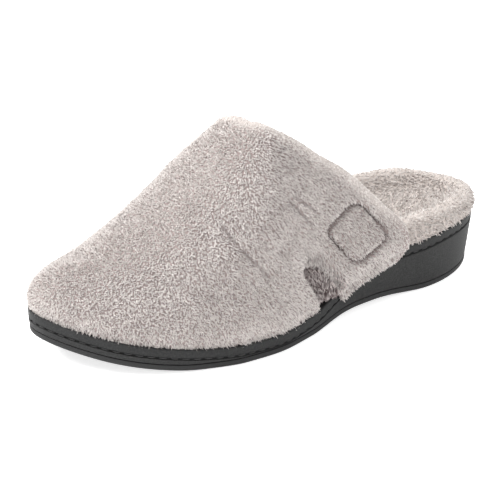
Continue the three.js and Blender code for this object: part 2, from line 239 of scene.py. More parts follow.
def curve(table, column, at):
    """A monotone cubic through a table's column: Hermite spans, whose slope at each row is the
    harmonic mean of the slopes beside it, or nought where these differ in sign."""
    x = np.array(table["along"])
    y = np.array(table[column])
    slope = np.diff(y) / np.diff(x)
    left, right = slope[:-1], slope[1:]
    same = left * right > 0
    inner = np.where(same, 2 * left * right / np.where(same, left + right, 1), 0)
    tangent = np.concatenate([slope[:1], inner, slope[-1:]])
    at = np.clip(at, x[0], x[-1])
    i = np.clip(np.searchsorted(x, at, side="right") - 1, 0, len(x) - 2)
    span = x[i + 1] - x[i]
    t = (at - x[i]) / span
    rest = 1 - t
    return (y[i] * (1 + 2 * t) * rest**2 + y[i + 1] * t**2 * (3 - 2 * t)
            + span * (tangent[i] * t * rest**2 - tangent[i + 1] * t**2 * rest))


def mix(a, b, t):
    """The value a share t of the way from a to b."""
    return a + (b - a) * t


def smoothstep(start, end, x):
    """An S-curve from 0 at the start to 1 at the end: 3 t squared less 2 t cubed."""
    t = np.clip((x - start) / (end - start), 0, 1)
    return t * t * (3 - 2 * t)


def end_cap(to_tip, reach):
    """The quarter-ellipse that closes an end: 1 before it begins, 0 at the tip."""
    return np.sqrt(1 - np.clip(1 - to_tip / reach, 0, 1) ** 2)


def unit(vectors):
    """Vectors scaled to a length of 1."""
    return vectors / np.maximum(np.linalg.norm(vectors, axis=-1, keepdims=True), 1e-12)


def half_outline(s, side):
    """How far the sole reaches from its straight axis at a share s, inflare included."""
    width = mix(HEEL_WIDTH, BALL_WIDTH, smoothstep(*WIDENING, s))
    share = np.where(side > 0, curve(OUTLINE, "outer", s), curve(OUTLINE, "inner", s))
    half = share * width * end_cap(s, HEEL_REACH) * end_cap(1 - s, TOE_REACH)
    return side * half - TOE_INFLARE * curve(OUTLINE, "axis", s)


AXIS_Y = sole_high.y - half_outline(np.linspace(0, 1, 1001), 1).max()


def outline(s, side):
    """The sole's outline in plan: x along its length, y out to one side."""
    s, side = np.broadcast_arrays(s, side)
    return np.stack([MIDDLE_X + (s - 0.5) * LENGTH, AXIS_Y + half_outline(s, side)], -1)


def share_of(x):
    """The share along the sole that a place x has."""
    return (x - MIDDLE_X) / LENGTH + 0.5


def ground(s):
    """The ground face: flat under heel and ball, hollow under the arch, lifted at both tips."""
    arch = smoothstep(HEEL_FLAT[1], ARCH_TOP[0], s) * (1 - smoothstep(ARCH_TOP[1], BALL_FLAT[0], s))
    toe = np.maximum(0, (s - BALL_FLAT[1]) / (1 - BALL_FLAT[1]))
    heel = np.maximum(0, 1 - s / HEEL_FLAT[0])
    return ARCH_LIFT * arch + TOE_SPRING * toe**2 + HEEL_LIFT * heel**2


def rim(s):
    """The wedge's rim: the ground face plus the stack there."""
    return ground(s) + mix(FOREFOOT_STACK, HEEL_STACK, curve(WEDGE, "share", s))


def inset_outline(p, side, inset):
    """The outline at station p, moved inwards along its own normal. Stations crowd towards the
    tips: the share is half of 1 less the cosine of pi times p."""
    share = (1 - np.cos(np.pi * p)) / 2
    step = 1e-3
    before = (1 - np.cos(np.pi * np.maximum(p - step, 0))) / 2
    after = (1 - np.cos(np.pi * np.minimum(p + step, 1))) / 2
    along = unit(outline(after, side) - outline(before, side))
    along[p <= 0] = (0, side)
    along[p >= 1] = (0, -side)
    outward = side * np.stack([-along[:, 1], along[:, 0]], -1)
    return outline(share, side) - outward * np.broadcast_to(inset, p.shape)[:, None]


def ring(inset, height):
    """Both sides of a loop round the sole. The inset depends on share and side, and the height
    on the share that each point ends at."""
    p = np.linspace(0, 1, SOLE_STATIONS + 1)
    share = (1 - np.cos(np.pi * p)) / 2
    sides = []
    for side in (1, -1):
        flat = inset_outline(p, side, inset(share, side))
        sides.append(np.column_stack([flat, height(share_of(flat[:, 0]))]))
    return np.array(sides)


def grid_faces(rows, columns, first=0):
    """The quads of a grid of points that are numbered along its rows."""
    corner = first + np.arange(rows - 1)[:, None] * columns + np.arange(columns - 1)
    return np.stack([corner, corner + 1, corner + columns + 1, corner + columns], -1).reshape(-1, 4)


def finish_piece(name, points, faces, finish, slot_name, smooth=True):
    """A mesh object at the origin that rides on the shoe's one body. Its doubles are merged where
    it is smooth."""
    mesh = bpy.data.meshes.new(name)
    mesh.from_pydata(points, [], faces)
    if smooth:
        work = bmesh.new()
        work.from_mesh(mesh)
        bmesh.ops.remove_doubles(work, verts=work.verts, dist=MERGE_DISTANCE)
        work.to_mesh(mesh)
        work.free()
        mesh.shade_smooth()
    mesh.materials.append(finish.material)
    piece = bpy.data.objects.new(name, mesh)
    bpy.context.collection.objects.link(piece)
    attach(piece, "root")
    return piece


def ringed_solid(rings):
    """Points and faces of a solid of stacked rings, top first: out along one side and back along
    the other, with a strip between the sides over the first ring and under the last."""
    rings = np.array(rings)
    loops = np.concatenate([rings[:, 0], rings[:, 1, ::-1]], axis=1)
    count, around = loops.shape[:2]
    stations = rings.shape[2]
    top = np.array([rings[0, 1], rings[0, 0]])
    bottom = np.array([rings[-1, 0], rings[-1, 1]])
    points = np.concatenate([loops.reshape(-1, 3), top.reshape(-1, 3), bottom.reshape(-1, 3)])
    faces = [grid_faces(count, around), grid_faces(2, stations, count * around),
             grid_faces(2, stations, count * around + 2 * stations)]
    return points, np.concatenate(faces)


def rake(s):
    """How far the sole's foot is drawn in under its rim."""
    return mix(HEEL_RAKE, SIDE_RAKE, smoothstep(0, HEEL_FLAT[1], s))


def wedge_ring(inset, below_rim):
    """A ring at an inset and at a drop below the rim."""
    return ring(lambda s, side: inset + 0 * s, lambda s: rim(s) - below_rim)


def foot_ring(inset, above_ground):
    """A ring at the rake plus an inset, at a height above the ground face."""
    return ring(lambda s, side: rake(s) + inset, lambda s: ground(s) + above_ground)


def wall_ring(t):
    """A ring of the wedge's wall, from the channel's foot at 0 to the seam at 1."""
    return ring(lambda s, side: rake(s) * t,
                lambda s: mix(rim(s) - RIM_BAND - CHANNEL_WIDTH, ground(s) + OUTSOLE_THICKNESS + 2 * GAP, t))


foam = Finish("moulded_foam", {"Specular IOR Level": 0.25})
speckle = foam.noise(0.7 * MM, 3)
cloud = foam.noise(34 * MM)
foam.give("Base Color", foam.blend(1.8 * speckle + 0.3 * cloud - 0.55, srgb(14, 15, 15), srgb(54, 54, 54)))
foam.give("Roughness", 0.52 + 0.22 * speckle)
foam.give("Normal", foam.bump(foam.noise(0.7 * MM, 3), 0.2 * MM, 0.7))

wedge_rings = [wedge_ring(4 * RIM_ROUND, 0)]
wedge_rings += [wedge_ring(RIM_ROUND * (1 - math.sin(turn)), RIM_ROUND * (1 - math.cos(turn)))
                for turn in np.linspace(0, math.pi / 2, 5)]
wedge_rings += [wedge_ring(0, 0.55 * RIM_BAND), wedge_ring(0, 0.95 * RIM_BAND)]
wedge_rings += [wedge_ring(CHANNEL_DEPTH * math.sin(math.pi * t) ** 0.6, RIM_BAND + CHANNEL_WIDTH * t)
                for t in np.linspace(0, 1, 9)]
wedge_rings += [wall_ring(t) for t in (0.04, 0.2, 0.4, 0.6, 0.8, 0.97)]
wedge_rings += [foot_ring(0.15 * MM, OUTSOLE_THICKNESS + 1.2 * GAP)]
wedge_rings += [foot_ring(inset, OUTSOLE_THICKNESS + GAP) for inset in (0.6 * MM, STRIP_INSET)]
wedge = finish_piece("midsole_wedge", *ringed_solid(wedge_rings), foam, "foam")
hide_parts("midsole")

# The outsole: a rubber ground sheet cemented under the wedge. A fine seam shows where they meet,
# and its lower edge is rounded.
OUTSOLE_ROUND = 1.2 * MM
SEAM_ROUND = 0.35 * MM

rubber = Finish("ground_rubber", {"Specular IOR Level": 0.4})
scuff = rubber.noise(2.6 * MM, 4)
rubber.give("Base Color", rubber.blend(scuff, srgb(27, 27, 28), srgb(44, 44, 44)))
rubber.give("Roughness", 0.6 + 0.2 * scuff)
rubber.give("Normal", rubber.bump(rubber.noise(0.9 * MM, 3), 0.15 * MM, 0.5))

ground_rings = [foot_ring(STRIP_INSET, OUTSOLE_THICKNESS)]
ground_rings += [foot_ring(SEAM_ROUND * (1 - math.sin(turn)),
                           OUTSOLE_THICKNESS - SEAM_ROUND * (1 - math.cos(turn)))
                 for turn in np.linspace(0, math.pi / 2, 4)]
ground_rings += [foot_ring(OUTSOLE_ROUND * (1 - math.cos(turn)), OUTSOLE_ROUND * (1 - math.sin(turn)))
                 for turn in np.linspace(0, math.pi / 2, 6)]
ground_rings += [foot_ring(STRIP_INSET, 0)]
ground_sheet = finish_piece("outsole_sheet", *ringed_solid(ground_rings), rubber, "rubber")
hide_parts("outsole")

# The stitches: one row of dark waxed thread, sunk in the wedge's channel all round.
STITCH_PITCH = 5.6 * MM
STITCH_LENGTH = 4.0 * MM
STITCH_THICKNESS = 0.9 * MM
STITCH_ROWS = 6
STITCH_COLUMNS = 7

thread = Finish("waxed_thread", {"Base Color": srgb(50, 50, 50)})
thread.give("Roughness", 0.5 + 0.3 * thread.noise(0.4 * MM))


def stitch_row(path):
    """Rounded stitches at even steps along a closed path. Each is an ellipsoid: along the path
    by the cosine of v, and round it by the sine of v."""
    closed = np.vstack([path, path[:1]])
    run = np.concatenate([[0], np.cumsum(np.linalg.norm(np.diff(closed, axis=0), axis=1))])
    count = int(run[-1] / STITCH_PITCH)
    middle = (np.arange(count) + 0.5) * run[-1] / count
    further = (middle + STITCH_LENGTH / 4) % run[-1]
    place, ahead = (np.stack([np.interp(at, run, closed[:, k]) for k in range(3)], -1)
                    for at in (middle, further))
    along = unit(ahead - place)[:, None, None]
    across = unit(np.cross(along, (0, 0, 1)))
    upward = np.cross(across, along)
    v = np.linspace(0, np.pi, STITCH_ROWS)[:, None]
    u = np.linspace(0, 2 * np.pi, STITCH_COLUMNS)[None, :]
    body = (along * (STITCH_LENGTH / 2 * np.cos(v) * np.ones_like(u))[None, ..., None]
            + across * (STITCH_THICKNESS / 2 * np.sin(v) * np.cos(u))[None, ..., None]
            + upward * (STITCH_THICKNESS / 2 * np.sin(v) * np.sin(u))[None, ..., None])
    points = place[:, None, None] + body
    one = grid_faces(STITCH_ROWS, STITCH_COLUMNS)[:, ::-1]
    first = STITCH_ROWS * STITCH_COLUMNS * np.arange(count)[:, None, None]
    return points.reshape(-1, 3), (one + first).reshape(-1, 4)


channel = wedge_ring(CHANNEL_DEPTH - 0.45 * STITCH_THICKNESS, RIM_BAND + CHANNEL_WIDTH / 2)
channel_path = np.concatenate([channel[0], channel[1, -2:0:-1]])
finish_piece("channel_stitches", *stitch_row(channel_path), thread, "rubber")


# The upper: one thick terry shell, the vamp with its closed toe and the high collar strap. It is
# lasted onto the wedge's rim; on the outer side the strap hangs over the rim, behind a notch.
WALL = 3.6 * MM
NAP_SINK = 1.0 * MM
FEATHER_INSET = 0.6 * MM
BULGE = 1.8 * MM
BULGE_HEIGHT = 30 * MM
INSTEP_HEIGHT = 110 * MM
TOE_HEIGHT = 44 * MM
HEM_DROP = 4.4 * MM
FLARE_HEIGHT = 60 * MM
FAN_START = 0.68
FAN_LAG = 0.11
COLLAR_TOP = 0.58
COLLAR_OUTER = 0.262
COLLAR_INNER = 0.29
HEM_ROUND = 0.02
STRAP_FRONT = 0.43
STRAP_HOLD = 0.015
STRAP_BLEND = 0.06
COLLAR_BAND = 3.4 * MM
COLLAR_ROLL = 1.1 * MM
HIGHLIGHT_HEIGHTS = (6 * MM, 30 * MM)
DRAPE = (0.3 * MM, 26 * MM)
LUMPS = (0.12 * MM, 6 * MM)
UPPER_ROWS = 150
UPPER_STEPS = 168
HEM_STEPS = 6
LIP_STEPS = 6
FOOT_CROWDING = 1.35
VAMP = {
    "along": (0.20, 0.40, 0.57, 0.62, 0.70, 0.80, 0.90, 1.00),
    "rise": (0.80, 0.96, 1.00, 0.88, 0.57, 0.26, 0.07, 0.00),
    "ridge": (0.56, 0.60, 0.60, 0.58, 0.54, 0.51, 0.50, 0.50),
    "square": (2.3, 2.4, 2.5, 2.55, 2.45, 2.4, 2.5, 2.6),
}
COLLAR = {
    "along": (0.00, 0.08, 0.20, 0.40, 0.60, 0.80, 1.00),
    "outer": (0.00, 0.03, 0.18, 0.42, 0.69, 0.89, 1.00),
    "inner": (0.00, 0.06, 0.24, 0.52, 0.80, 1.00, 1.00),
}


def last(s, arc):
    """The last that the upper is shaped on: superellipse sections from the outer foot (arc 0)
    over the ridge (a half) to the inner foot (1). Towards the toe they fan out from the spine."""
    side = np.where(arc <= 0.5, 1, -1)
    foot = outline(s, side)
    at = s - FAN_LAG * np.maximum(0, (s - FAN_START) / (1 - FAN_START)) ** 2
    outer, inner = outline(at, 1), outline(at, -1)
    ridge_y = mix(inner[..., 1], outer[..., 1], curve(VAMP, "ridge", at))
    power = 2 / curve(VAMP, "square", s)
    across = np.abs(np.cos(np.pi * arc)) ** power
    up = np.abs(np.sin(np.pi * arc)) ** power
    x = mix(outer[..., 0], foot[..., 0], across)
    crown = mix(TOE_HEIGHT, INSTEP_HEIGHT, curve(VAMP, "rise", share_of(x)))
    return np.stack([x, mix(ridge_y, foot[..., 1], across), mix(rim(s) + GAP, crown, up)], -1)


def last_normal(s, arc):
    """The last's outward normal: its slope around crossed with its slope along."""
    ds, da = 1e-4, 1e-3
    tip = s > 1 - 2 * ds
    at = np.clip(arc, da, 1 - da)
    at = np.where(tip & (np.abs(at - 0.5) < 2 * da), 0.5 - 2 * da, at)
    short = np.minimum(s, 1 - 2 * ds)
    along = last(short + ds, at) - last(short - ds, at)
    sideways = np.stack([0 * s, np.where(at <= 0.5, -1.0, 1.0), 0 * s], -1)
    along = np.where(tip[..., None], sideways, along)
    return unit(np.cross(last(s, at + da) - last(s, at - da), along))


def strap_share(s):
    """1 where the strap hangs outside the rim, 0 where the upper stands on it."""
    return 1 - smoothstep(STRAP_FRONT + STRAP_HOLD, STRAP_FRONT + STRAP_BLEND, s)


def upper_point(s, arc, sink, depth):
    """A point at a depth under the upper's outside: the last, a bulge above the feather line,
    the strap's flare, and on the hem a drop below the rim."""
    point = last(s, arc)
    lift = point[..., 2] - rim(s) - GAP
    t = np.minimum(1, lift / BULGE_HEIGHT)
    bulge = BULGE * 27 / 4 * t * (1 - t) ** 2
    flare = np.where(arc < 0.5, strap_share(s) * (1 - smoothstep(0, FLARE_HEIGHT, lift)), 0)
    outwards = bulge + flare * (FEATHER_INSET + GAP + WALL) - FEATHER_INSET - depth
    point = point + last_normal(s, arc) * outwards[..., None]
    on_foot = (arc == 0) | (arc == 1)
    point[..., 2] = np.where(on_foot, rim(share_of(point[..., 0])) + GAP, point[..., 2])
    point[..., 2] -= sink * strap_share(s) * (HEM_DROP + GAP)
    return point


# The notch between the strap and the vamp leans forward as it rises, with a round top.
NOTCH_BACK = -18.0 * MM
NOTCH_FOOT = 14.0 * MM
NOTCH_HEIGHT = 27 * MM
NOTCH_HALF_WIDTH = 9.3 * MM
NOTCH_LEAN = 16.5 * MM
NOTCH_CURVE = 1.2
NOTCH_STRAIGHT = 0.4
NOTCH_SQUARE = 2.6
NOTCH_REACH = 0.16
NOTCH_MOVES = 3
KEPT_SUM = 0.02
KEPT_LEAST = -0.05


def notch(x, z):
    """Below 0 inside the notch: a slanted slot, closed at the top by a superellipse."""
    v = (z - NOTCH_FOOT) / NOTCH_HEIGHT
    middle = NOTCH_BACK + NOTCH_HALF_WIDTH + NOTCH_LEAN * np.maximum(v, 0) ** NOTCH_CURVE
    u = np.abs(x - middle) / NOTCH_HALF_WIDTH
    top = np.clip((v - NOTCH_STRAIGHT) / (1 - NOTCH_STRAIGHT), 0, 2)
    return (u**NOTCH_SQUARE + top**NOTCH_SQUARE) ** (1 / NOTCH_SQUARE) - 1


def ahead_of_notch(points):
    """How far points lie in front of a straight line up the notch's middle."""
    leaning = NOTCH_LEAN * np.clip((points[:, 2] - NOTCH_FOOT) / NOTCH_HEIGHT, 0, 1)
    return points[:, 0] - NOTCH_BACK - NOTCH_HALF_WIDTH - leaning


# The stitched square on the strap, by its middle and two of its edges. Round it and on the vamp
# are soft creases, with a half-width and a depth each, and fine furrows that are pressed into the
# nap. All are in the shoe's side view, the creases' and furrows' two ends in millimetres.
PATCH_MIDDLE = np.array([-27.2, 45.8]) * MM
PATCH_DOWN = np.array([-18.4, -23.0]) * MM
PATCH_ALONG = np.array([24.0, -9.2]) * MM
PATCH_CORNER = 0.5
SEAM_HALF_WIDTH = 1.1 * MM
SEAM_LINE = 0.5 * MM
SEAM_DEPTH = 2.0 * MM
CREASES = [
    ((48.7, 63.3), (41.4, 54.3), 3.2 * MM, 0.9 * MM),
    ((18.7, 75.1), (4.7, 63.9), 1.8 * MM, 0.6 * MM),
    ((33.0, 47.0), (12.0, 60.0), 6.0 * MM, 0.7 * MM),
    ((70.0, 40.0), (55.0, 52.0), 7.0 * MM, -0.8 * MM),
]
FURROWS = [
    ((50.5, 67.0), (45.3, 56.8)), ((45.3, 56.8), (32.5, 41.0)), ((17.2, 75.6), (1.8, 57.9)),
    ((12.5, 75.7), (-1.5, 64.1)),
]
FURROW_HALF_WIDTH = 0.6 * MM
FURROW_DEPTH = 0.9 * MM


def bell(off, half_width):
    """1 at a distance of nought, falling as the exponential of less the distance squared."""
    return np.exp(-((off / half_width) ** 2))


def seam_off(points):
    """How far a point on the outer side is from the seam of the stitched square, a rounded box in
    coordinates along its own two edges. On the inner side it is a metre."""
    flat = points[..., [0, 2]] - PATCH_MIDDLE
    share = flat @ np.linalg.inv(np.array([PATCH_DOWN, PATCH_ALONG]) / 2)
    past = np.abs(share) - (1 - PATCH_CORNER)
    outside = np.linalg.norm(np.maximum(past, 0), axis=-1) + np.minimum(past.max(-1), 0) - PATCH_CORNER
    return np.where(points[..., 1] > AXIS_Y, np.abs(outside) * np.linalg.norm(PATCH_DOWN) / 2, 1)


def line_off(points, start, end):
    """How far points are, in the side view, from a line between two places in millimetres there.
    On the inner side it is a metre."""
    start, end = np.array(start) * MM, np.array(end) * MM
    flat = points[..., [0, 2]] - start
    along = np.clip(flat @ (end - start) / ((end - start) @ (end - start)), 0, 1)
    off = np.linalg.norm(flat - along[..., None] * (end - start), axis=-1)
    return np.where(points[..., 1] > AXIS_Y, off, 1)


def creases(points):
    """The soft troughs on the outer side, and one low ridge: each a depth times a bell of the
    distance from its line."""
    return sum(trough * bell(line_off(points, start, end), half_width)
               for start, end, half_width, trough in CREASES)


def furrows(points):
    """The fine lines in the nap: 1 on a line, and a bell of the distance from it."""
    return np.maximum.reduce([bell(line_off(points, *line), FURROW_HALF_WIDTH) for line in FURROWS])


WAVES = 9
WAVE_SPREAD = (0.75, 1.4)
WAVE_GAIN = 1.8


def ripple(points, grain, seed):
    """Smooth random waves, mostly within -1 to 1: a gain times the mean of some sines in random
    directions, whose wavelengths lie round a grain in metres."""
    chance = np.random.default_rng(seed)
    heading = unit(chance.normal(size=(WAVES, 3)))
    heading = heading * 2 * np.pi / (grain * chance.uniform(*WAVE_SPREAD, (WAVES, 1)))
    return np.sin(points @ heading.T + chance.uniform(0, 2 * np.pi, WAVES)).mean(-1) * WAVE_GAIN


def grid_slopes(points):
    """The two unit slopes of a grid, along its rows and along its columns, and its normals."""
    down = unit(np.gradient(points, axis=0))
    across = unit(np.gradient(points, axis=1))
    return down, across, unit(np.cross(across, down))


def thick_shell(outer, inner, kept, sewn_row=None):
    """Two skins, one face per kept quad, with a half-round lip along every open edge. The lip
    turns from the outer skin to the inner one about the middle between them, and bulges away
    from the sheet. Edges in the sewn row get none, because their two halves meet."""
    rows, columns = outer.shape[:2]
    skin = rows * columns
    quads = grid_faces(rows, columns)[kept.ravel()]
    edges = np.concatenate([quads[:, [k, (k + 1) % 4]] for k in range(4)])
    owner = np.tile(np.arange(len(quads)), 4)
    open_edge = ~np.isin(edges[:, 0] * skin + edges[:, 1], edges[:, 1] * skin + edges[:, 0])
    if sewn_row is not None:
        open_edge &= ~(edges // columns == sewn_row).all(1)
    edges, owner = edges[open_edge], owner[open_edge]
    flat_outer, flat_inner = outer.reshape(-1, 3), inner.reshape(-1, 3)
    away = flat_outer[edges].mean(1) - flat_outer[quads[owner]].mean(1)
    push = np.zeros_like(flat_outer)
    np.add.at(push, edges[:, 0], unit(away))
    np.add.at(push, edges[:, 1], unit(away))
    rim_points, place = np.unique(edges, return_inverse=True)
    place = place.reshape(edges.shape)
    middle = (flat_outer + flat_inner)[rim_points] / 2
    half = (flat_outer - flat_inner)[rim_points] / 2
    through = unit(half)
    outwards = push[rim_points] - through * (push[rim_points] * through).sum(-1, keepdims=True)
    outwards = unit(outwards) * np.linalg.norm(half, axis=-1, keepdims=True)
    turns = np.linspace(0, np.pi, LIP_STEPS + 1)[1:-1, None, None]
    lips = middle + half * np.cos(turns) + outwards * np.sin(turns)
    points = np.concatenate([flat_outer, flat_inner, lips.reshape(-1, 3)])
    on_rim = len(rim_points)
    rows_of = [rim_points] + [2 * skin + k * on_rim + np.arange(on_rim) for k in range(LIP_STEPS - 1)]
    rows_of.append(rim_points + skin)
    faces = [quads, quads[:, ::-1] + skin]
    for upper_row, lower_row in zip(rows_of[:-1], rows_of[1:]):
        faces.append(np.column_stack([upper_row[place[:, 1]], upper_row[place[:, 0]],
                                      lower_row[place[:, 0]], lower_row[place[:, 1]]]))
    used, faces = np.unique(np.concatenate(faces), return_inverse=True)
    return points[used], faces.reshape(-1, 4)


def collar_share(arc):
    """The share along the sole at which the upper begins: the collar line at each arc."""
    height = 1 - np.abs(1 - 2 * arc)
    outer = mix(COLLAR_OUTER, COLLAR_TOP, curve(COLLAR, "outer", height))
    inner = mix(COLLAR_INNER, COLLAR_TOP, curve(COLLAR, "inner", height))
    return np.where(arc <= 0.5, outer, inner) + 0.5 * WALL / LENGTH


across = np.linspace(-1, 1, UPPER_STEPS + 1)
climb = (1 - np.abs(across)) ** FOOT_CROWDING
sink = np.concatenate([np.linspace(1, 0, HEM_STEPS, endpoint=False), np.zeros(UPPER_STEPS + 1)])
arc = np.concatenate([np.zeros(HEM_STEPS), np.where(across <= 0, climb / 2, 1 - climb / 2)])
trim = np.where(arc == 0, 0.1 + 0.9 * sink**2, 0)
rows = np.sin(np.linspace(0, np.pi / 2, UPPER_ROWS + 1))[:, None]
share = mix(collar_share(arc) + trim * HEM_ROUND, 1, rows)
arcs = np.broadcast_to(arc, share.shape)
sinks = np.broadcast_to(sink, share.shape)

outer_skin = upper_point(share, arcs, sinks, NAP_SINK)
inner_skin = upper_point(share, arcs, sinks, WALL)
collar_edge = outer_skin[0]


def notch_cut(points):
    """The notch's value at points of the outer side, and 1 everywhere else."""
    return np.where((arcs < 0.5) & (points[..., 1] > AXIS_Y), notch(points[..., 0], points[..., 2]), 1)


def slide_to_notch(points):
    """Moves the points next to the notch onto its edge, along the skin: a step down the notch's
    slope, which is its change over a small step in x and in z less the share along the normal."""
    step = 0.05 * MM
    normal = grid_slopes(points)[2]
    value = notch_cut(points)
    slope = np.zeros_like(points)
    for axis in (0, 2):
        moved = points.copy()
        moved[..., axis] += step
        slope[..., axis] = (notch_cut(moved) - value) / step
    slope -= normal * (slope * normal).sum(-1, keepdims=True)
    size = np.maximum((slope**2).sum(-1), 1)
    return points - slope * (np.where(np.abs(value) < NOTCH_REACH, value, 0) / size)[..., None]


def over_rim(points):
    """How high points lie over the sole's rim."""
    return points[..., 2] - rim(share_of(points[..., 0]))


def collar_roll(points):
    """The collar's thick edge: 1 on the upper's first ring, and a bell of the distance from it."""
    off = np.linalg.norm(points.reshape(-1, 1, 3) - collar_edge, axis=-1).min(1)
    return bell(off, COLLAR_BAND).reshape(points.shape[:-1])


def collar_highlight(points):
    """The painted highlight on the collar's thick edge, which makes its weave and nap paler: less towards
    the strap's low corner.
    """
    return collar_roll(points) * smoothstep(*HIGHLIGHT_HEIGHTS, over_rim(points))


def fabric(name, sheen, specular=0.05):
    """The material of a cloth: wholly rough, with a soft sheen."""
    return Finish(name, {"Sheen Weight": sheen, "Sheen Roughness": 0.5, "Specular IOR Level": specular,
                         "Roughness": 1.0})


for move in range(NOTCH_MOVES):
    edge_move = slide_to_notch(outer_skin) - outer_skin
    outer_skin = outer_skin + edge_move
    inner_skin = inner_skin + edge_move
cut = notch_cut(outer_skin)
cut_corners = [cut[:-1, :-1], cut[1:, :-1], cut[:-1, 1:], cut[1:, 1:]]
kept = (sum(cut_corners) > KEPT_SUM) & (np.minimum.reduce(cut_corners) > KEPT_LEAST)
normal = grid_slopes(outer_skin)[2]
relief = (DRAPE[0] * ripple(outer_skin, DRAPE[1], 3) + LUMPS[0] * ripple(outer_skin, LUMPS[1], 4)
          + COLLAR_ROLL * collar_roll(outer_skin) ** 0.5
          - SEAM_DEPTH * bell(seam_off(outer_skin), SEAM_HALF_WIDTH)
          - creases(outer_skin) - FURROW_DEPTH * furrows(outer_skin))
outer_skin = outer_skin + normal * relief[..., None] * (arcs > 0)[..., None]

terry = fabric("terry", 0.15, 0.1)
mottle = 0.55 * terry.noise(1.2 * MM, 3) + 0.45 * terry.noise(13 * MM)
weave = terry.blend(mottle, srgb(116, 103, 101), srgb(178, 166, 162))
# Painted highlight: a paler weave on the collar's thick edge, where the light catches it.
highlight_weave = terry.blend(mottle, srgb(176, 167, 162), srgb(214, 206, 201))
weave = terry.blend(terry.attribute("collar"), weave, highlight_weave)
# Painted shade: the weave is painted dark in the seam's groove round the stitched square.
terry.give("Base Color", terry.blend(terry.attribute("seam"), weave, srgb(58, 47, 46)))
terry.give("Normal", terry.bump(terry.noise(0.8 * MM, 3), 0.5 * MM, 0.8))

shell_points, shell_faces = thick_shell(outer_skin, inner_skin, kept, UPPER_ROWS)
shell = finish_piece("terry_upper", shell_points, shell_faces, terry, "terry")
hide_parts("upper")


def vertex_values(piece, what):
    """The places or the normals of a piece's vertices, one row each."""
    values = np.empty(3 * len(piece.data.vertices), np.float32)
    piece.data.vertices.foreach_get(what, values)
    return values.reshape(-1, 3)


def keep_values(piece, name, values):
    """Keeps one value for each of a piece's vertices, for its material."""
    kept_values = piece.data.attributes.new(name, "FLOAT", "POINT")
    kept_values.data.foreach_set("value", values.astype(np.float32).ravel())


place = vertex_values(shell, "co")
facing_out = vertex_values(shell, "normal")[:, 1] > 0
# Where the painted shade of the seam's groove falls, on faces that look outwards.
keep_values(shell, "seam", bell(seam_off(place), SEAM_HALF_WIDTH) * facing_out)
# Where the painted highlight of the collar's edge lies.
keep_values(shell, "collar", collar_highlight(place))


# The nap of the terry: short locks that lie down and back towards the heel, and curl on the toe
# and the ridge. Each is a few strands whose tips cling together, with painted shade at the root
# and the lock's full tone at the tip. It is longer beside the notch, and shorter along the seam and
# the furrows, where painted shade darkens it. The collar's edge has a painted highlight.
NAP_LOCKS = 49000
NAP_STRANDS = 3
NAP_PIECES = 3
NAP_LENGTH = 1.75 * MM
NAP_LENGTH_SPREAD = 0.15
NAP_LEAN = 1.05
NAP_DOWN = np.array([0, 0, -0.85])
NAP_BACK = np.array([-0.45, 0, 0])
NAP_SWAY = 0.3
NAP_TONE = 0.82
NAP_EVEN = 0.9
PATCH_GRAIN = 5 * MM
CURLY_TOE = (10 * MM, 90 * MM)
SIDEWAYS = (0.15, 0.8)
LOCK_RADIUS = 0.4 * MM
LOCK_SWING = (0.3, 1.5)
LEAN_SPREAD = 0.15
STRAND_RADIUS = 0.32 * MM
STRAND_SPREAD = (0.7, 1.3)
TIP_APART = 0.4
TIP_SPREAD = 0.25
ROOT_SINK = 0.2 * MM
ROOT_SHADE = 0.5
SHADED_STRANDS = 0.12
SHADED_TONE = 0.15
TONE_SPREAD = 0.08
TONE_LIMITS = (0.02, 1.25)
HEM_BAND = 2.0 * MM
HEM_RAGGED = 0.35
FRINGE_LAY = np.array([0.8, 0.1, -0.65])
FRINGE_REACH = 0.4
FRINGE_FOOT = 7 * MM


def quad_normals(points, quads):
    """Each point's normal: the sum of the normals of its quads, each as long as the quad is large."""
    a, b, c, d = (points[quads[:, k]] for k in range(4))
    facing = np.cross(c - a, d - b)
    total = np.zeros_like(points)
    for k in range(4):
        np.add.at(total, quads[:, k], facing)
    return unit(total)


def scatter(points, normals, quads, count, chance):
    """Roots on quads, as many on each as its area asks for, with the normal there. They follow the
    quads at even steps of the area, and each is at random within its step and its quad."""
    a, b, c, d = (points[quads[:, k]] for k in range(4))
    area = np.cumsum(np.linalg.norm(np.cross(c - a, d - b), axis=-1))
    steps = (np.arange(count) + chance.random(count)) / count
    chosen = quads[np.searchsorted(area, steps * area[-1])]
    u, v = chance.random((2, count, 1))
    weights = np.stack([(1 - u) * (1 - v), u * (1 - v), u * v, (1 - u) * v], 1)
    return (points[chosen] * weights).sum(1), unit((normals[chosen] * weights).sum(1))


